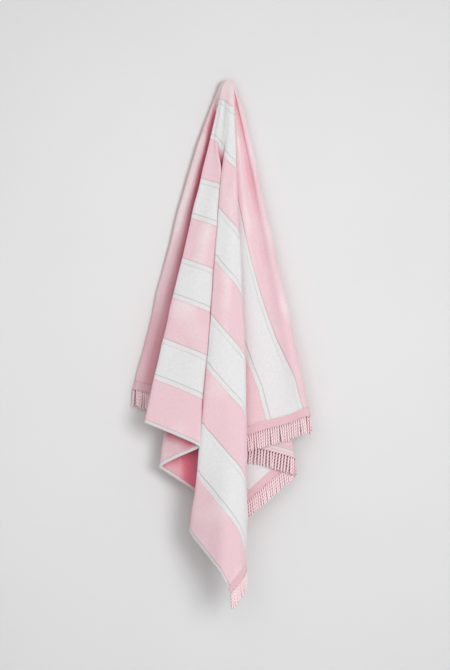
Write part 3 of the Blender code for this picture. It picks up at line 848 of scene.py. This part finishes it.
def striped_cloth(name, grit, fluff, patchy, bloom):
    """Woven cotton with raised pile stripes, flat bands between them and flat hems.

    grit    size of the pile's tufts or loops
    fluff   how much they stand out, as a share of the pile's height
    patchy  how much the tone wanders
    bloom   how pale it turns where it is seen edge on
    """
    material, tree, shader = new_material(name, {
        "Roughness": 0.95, "Specular IOR Level": 0.2, "Sheen Weight": bloom,
        "Sheen Roughness": 0.40, "Sheen Tint": COLOURS["nap"]})
    place = add(tree, "UVMap", uv_map="flat")
    past, wrapped = stripe_nodes(tree, place)
    pink = add(tree, "MapRange", past, -COLOUR_CHANGE, COLOUR_CHANGE, 1.0, 0.0)
    pile_pink = add(tree, "MapRange", past, -PILE_SLOPE, PILE_FOOT, 1.0, 0.0,
                    interpolation_type="SMOOTHSTEP")
    pile_white = add(tree, "MapRange", past, BAND - PILE_FOOT, BAND + PILE_SLOPE,
                     0.0, 1.0, interpolation_type="SMOOTHSTEP")
    pile = add(tree, "Math", pile_pink, pile_white, operation="MAXIMUM")
    # soft patches where the pile lies differently, and the grain of the pile itself
    patches = add(tree, "TexNoise", place,
                  named={"Scale": 1.0 / PATCH, "Detail": 4.0, "Roughness": 0.6})
    grain = add(tree, "TexNoise", place,
                named={"Scale": 1.0 / grit, "Detail": 2.0, "Roughness": 0.6})
    tone = add(tree, "MapRange", patches, 0.25, 0.75, 1.0 - patchy, 1.0 + patchy)
    speck = add(tree, "MapRange", grain, 0.25, 0.75, 1.0 - 1.6 * patchy, 1.0 + patchy)
    tone = add(tree, "Math", tone, speck, operation="MULTIPLY")
    for edge in (0.0, BAND):
        tone = add(tree, "Math", tone, nap_shadow(tree, past, wrapped, edge),
                   operation="MULTIPLY")
    white = add(tree, "Mix", pile, data_type="RGBA",
                named={MIX_A: COLOURS["band"], MIX_B: COLOURS["white"]})
    # painted highlight: a paler colour along a ridge and over the hang point, where the light
    # catches the cloth
    painted_shade_level = add(tree, "Attribute", attribute_name="shade_to_paint").outputs["Fac"]
    ridge = add(tree, "MapRange", painted_shade_level, RIDGE_FULL, RIDGE_FROM, 1.0, 0.0)
    top = add(tree, "VectorMath", place, (0.0, NEAR_EDGE, 0.0), operation="DISTANCE")
    top = add(tree, "MapRange", top.outputs["Value"], TOP_FULL, TOP_FROM,
              TOP_PALE, 0.0)
    pale = add(tree, "Math", ridge, top, operation="MAXIMUM")
    pinks = add(tree, "Mix", pale, data_type="RGBA",
                named={MIX_A: COLOURS["pink"], MIX_B: COLOURS["pink with painted highlight"]})
    lit = add(tree, "Mix", pink, data_type="RGBA",
              named={MIX_A: white.outputs[MIXED], MIX_B: pinks.outputs[MIXED]})
    # painted shade: a deeper colour where the cloth is closed in, for the shade of a fold and the
    # light bounced about inside it
    shaded_colour = add(tree, "Mix", pink, data_type="RGBA",
                 named={MIX_A: COLOURS["white in painted shade"], MIX_B: COLOURS["pink in painted shade"]})
    deep = add(tree, "MapRange", painted_shade_level, FOLD_FROM, FOLD_FULL, 0.0, 1.0)
    colour = add(tree, "Mix", deep, data_type="RGBA",
                 named={MIX_A: lit.outputs[MIXED], MIX_B: shaded_colour.outputs[MIXED]})
    weave = add(tree, "TexWave", place, bands_direction="X", named=WEFT)
    tufts = add(tree, "Math", grain, fluff, operation="MULTIPLY")
    height = add(tree, "Math", tufts, 1.0, operation="ADD")
    height = add(tree, "Math", height, pile, operation="MULTIPLY")
    threads = add(tree, "Math", weave, THREAD_HEIGHT, operation="MULTIPLY")
    height = add(tree, "Math", height, threads, operation="ADD")
    dress(tree, shader, colour.outputs[MIXED], tone, height, 1.0, PILE_HEIGHT)
    return material


def trim_cotton(name, shade, ribbed):
    """Cotton trim: a diagonal rib for the braid tape, plain twisted yarn for the cords."""
    material, tree, shader = new_material(name, {
        "Roughness": 0.92, "Specular IOR Level": 0.2, "Sheen Weight": 0.4,
        "Sheen Roughness": 0.6})
    place = add(tree, "UVMap", uv_map="flat")
    fuzz = add(tree, "TexNoise", place, named={"Scale": 1.0 / FUZZ, "Detail": 2.0})
    tone = add(tree, "MapRange", fuzz, 0.25, 0.75, 0.92, 1.06)
    # painted shade: the trim takes its deeper colour where it is closed in
    painted_shade_level = add(tree, "Attribute", attribute_name="shade_to_paint").outputs["Fac"]
    mixed = add(tree, "Mix", painted_shade_level, data_type="RGBA",
                named={MIX_A: COLOURS[shade], MIX_B: COLOURS[shade + " in painted shade"]})
    height = fuzz
    if ribbed:
        turned = add(tree, "Mapping", place,
                     named={"Rotation": (0.0, 0.0, math.radians(RIB_SLANT))})
        ribs = add(tree, "TexWave", turned, bands_direction="X",
                   named={"Scale": BANDS / RIB, "Distortion": 0.8, "Detail": 1.0})
        between = add(tree, "MapRange", ribs, 0.0, 0.6, RIB_SHADE, 1.0)
        tone = add(tree, "Math", tone, between, operation="MULTIPLY")
        height = add(tree, "Math", ribs, fuzz, operation="ADD")
    dress(tree, shader, mixed.outputs[MIXED], tone, height, 0.8, RIB_HEIGHT)
    return material


def woven_end():
    """Plain flat weave of the cloth's end, which shows behind the tape."""
    material, tree, shader = new_material("plain woven cotton end", {
        "Roughness": 0.9, "Specular IOR Level": 0.2})
    place = add(tree, "UVMap", uv_map="flat")
    weft = add(tree, "TexWave", place, bands_direction="X", named=WEFT)
    tone = add(tree, "MapRange", weft, 0.0, 1.0, 0.96, 1.02)
    parts = add(tree, "SeparateXYZ", place)
    for seam, depth in SEAMS:
        off = add(tree, "Math", parts.outputs["X"], seam, operation="SUBTRACT")
        off = add(tree, "Math", off, operation="ABSOLUTE")
        line = add(tree, "MapRange", off, 0.0, SEAM_WIDTH, depth, 1.0,
                   interpolation_type="SMOOTHSTEP")
        tone = add(tree, "Math", tone, line, operation="MULTIPLY")
    dress(tree, shader, COLOURS["woven end"][:3], tone, weft, 0.5, WEFT_HEIGHT)
    return material


def painted_wall():
    """Matt paint with faint roller marks and a painted pool of light, palest behind the towel; only
    its front shows.
    """
    material, tree, shader = new_material("matt wall paint", {
        "Roughness": 0.9, "Specular IOR Level": 0.1})
    place = add(tree, "TexCoord").outputs["Object"]
    noise = add(tree, "TexNoise", place, named={"Scale": 3.0, "Detail": 4.0})
    tone = add(tree, "MapRange", noise, 0.3, 0.7, 0.99, 1.01)
    # painted pool of light: darker with the square of the distance from its middle
    away = add(tree, "VectorMath", place, WALL_LIGHT_MIDDLE, operation="DISTANCE")
    away = add(tree, "Math", away.outputs["Value"], 2.0, operation="POWER")
    away = add(tree, "MapRange", away, 0.0, 1.0, 1.0, WALL_LIGHT_EDGE)
    tone = add(tree, "Math", tone, away, operation="MULTIPLY")
    dress(tree, shader, COLOURS["wall"][:3], tone)
    side = add(tree, "NewGeometry")
    clear = add(tree, "BsdfTransparent")
    mix = add(tree, "MixShader", side.outputs["Backfacing"], shader, clear)
    tree.links.new(mix.outputs[0], tree.nodes["Material Output"].inputs[0])
    return material


# -------------------- the picture's surroundings
def build_stage():
    """A pale wall just behind the towel that curves into a pale floor."""
    bend_z = FLOOR_Z + FLOOR_CURVE
    foot = WALL_Y - WALL_LEAN * bend_z
    profile = [(WALL_Y - WALL_LEAN * WALL_TOP, WALL_TOP)]
    for step in range(CURVE_STEPS + 1):
        turn = math.radians(90.0 * step / CURVE_STEPS)
        profile.append((foot - FLOOR_CURVE * (1 - math.cos(turn)),
                        bend_z - FLOOR_CURVE * math.sin(turn)))
    profile.append((FLOOR_FRONT, FLOOR_Z))
    verts = [(x, y, z) for y, z in profile for x in (-STAGE_HALF, STAGE_HALF)]
    faces = quads(np.arange(len(verts)).reshape(-1, 2))
    wall = mesh_object("backdrop", verts, faces, [painted_wall()])


def build_lights():
    """Two soft round lamps, and an even sky."""
    for name, bearing, height, away, size, power in LAMPS:
        lamp = bpy.data.lights.new(name, "AREA")
        lamp.shape = "DISK"
        lamp.size = size
        lamp.energy = power
        aim = towards(bearing, height)
        thing = link(bpy.data.objects.new(name, lamp))
        thing.location = Vector(MIDDLE) + aim * away
        thing.rotation_euler = aim.to_track_quat("Z", "Y").to_euler()
    world = bpy.data.worlds.new("studio")
    world.use_nodes = True
    sky = world.node_tree.nodes["Background"]
    sky.inputs["Color"].default_value = (1.0, 1.0, 1.0, 1.0)
    sky.inputs["Strength"].default_value = SKY
    bpy.context.scene.world = world
    bpy.context.scene.view_settings.view_transform = "Standard"


def build_camera():
    """A long lens, level with the towel's middle."""
    lens = bpy.data.cameras.new("view")
    lens.lens = LENS_DISTANCE * SENSOR / VIEW_HEIGHT
    lens.clip_end = 100.0
    camera = link(bpy.data.objects.new("view", lens))
    camera.location = (VIEW_X, -LENS_DISTANCE, VIEW_Z)
    camera.rotation_euler = (math.radians(90.0), 0.0, 0.0)
    bpy.context.scene.camera = camera


# sheared cotton velour: short dense pile with a pale bloom where it is seen edge on
face = striped_cloth("sheared cotton velour", grit=0.0016, fluff=0.35, patchy=0.045, bloom=1.0)
# cotton terry: uncut loops, rougher and with less bloom
reverse = striped_cloth("cotton terry loops", grit=0.0024, fluff=0.9, patchy=0.05, bloom=0.5)
# knitted braid tape with a slanting rib, and its soft two-ply cords
tape = trim_cotton("ribbed braid tape", "tape", ribbed=True)
yarn = trim_cotton("twisted cotton cord", "cord", ribbed=False)
# plain weave with no pile: the flattest and least soft of them, with its stitching showing
behind = woven_end()

cloth = build_cloth([face, reverse])
left_fringe = build_fringe("fringe_trim_left", -1, LEFT_LENGTH, [tape, yarn, behind])
right_fringe = build_fringe("fringe_trim_right", 1, RIGHT_LENGTH, [tape, yarn, behind])
for piece, node in ((cloth, "towel"), (left_fringe, "fringe_left"),
                    (right_fringe, "fringe_right")):
    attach(piece, "root")
    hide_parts(node)
build_stage()
build_lights()
build_camera()
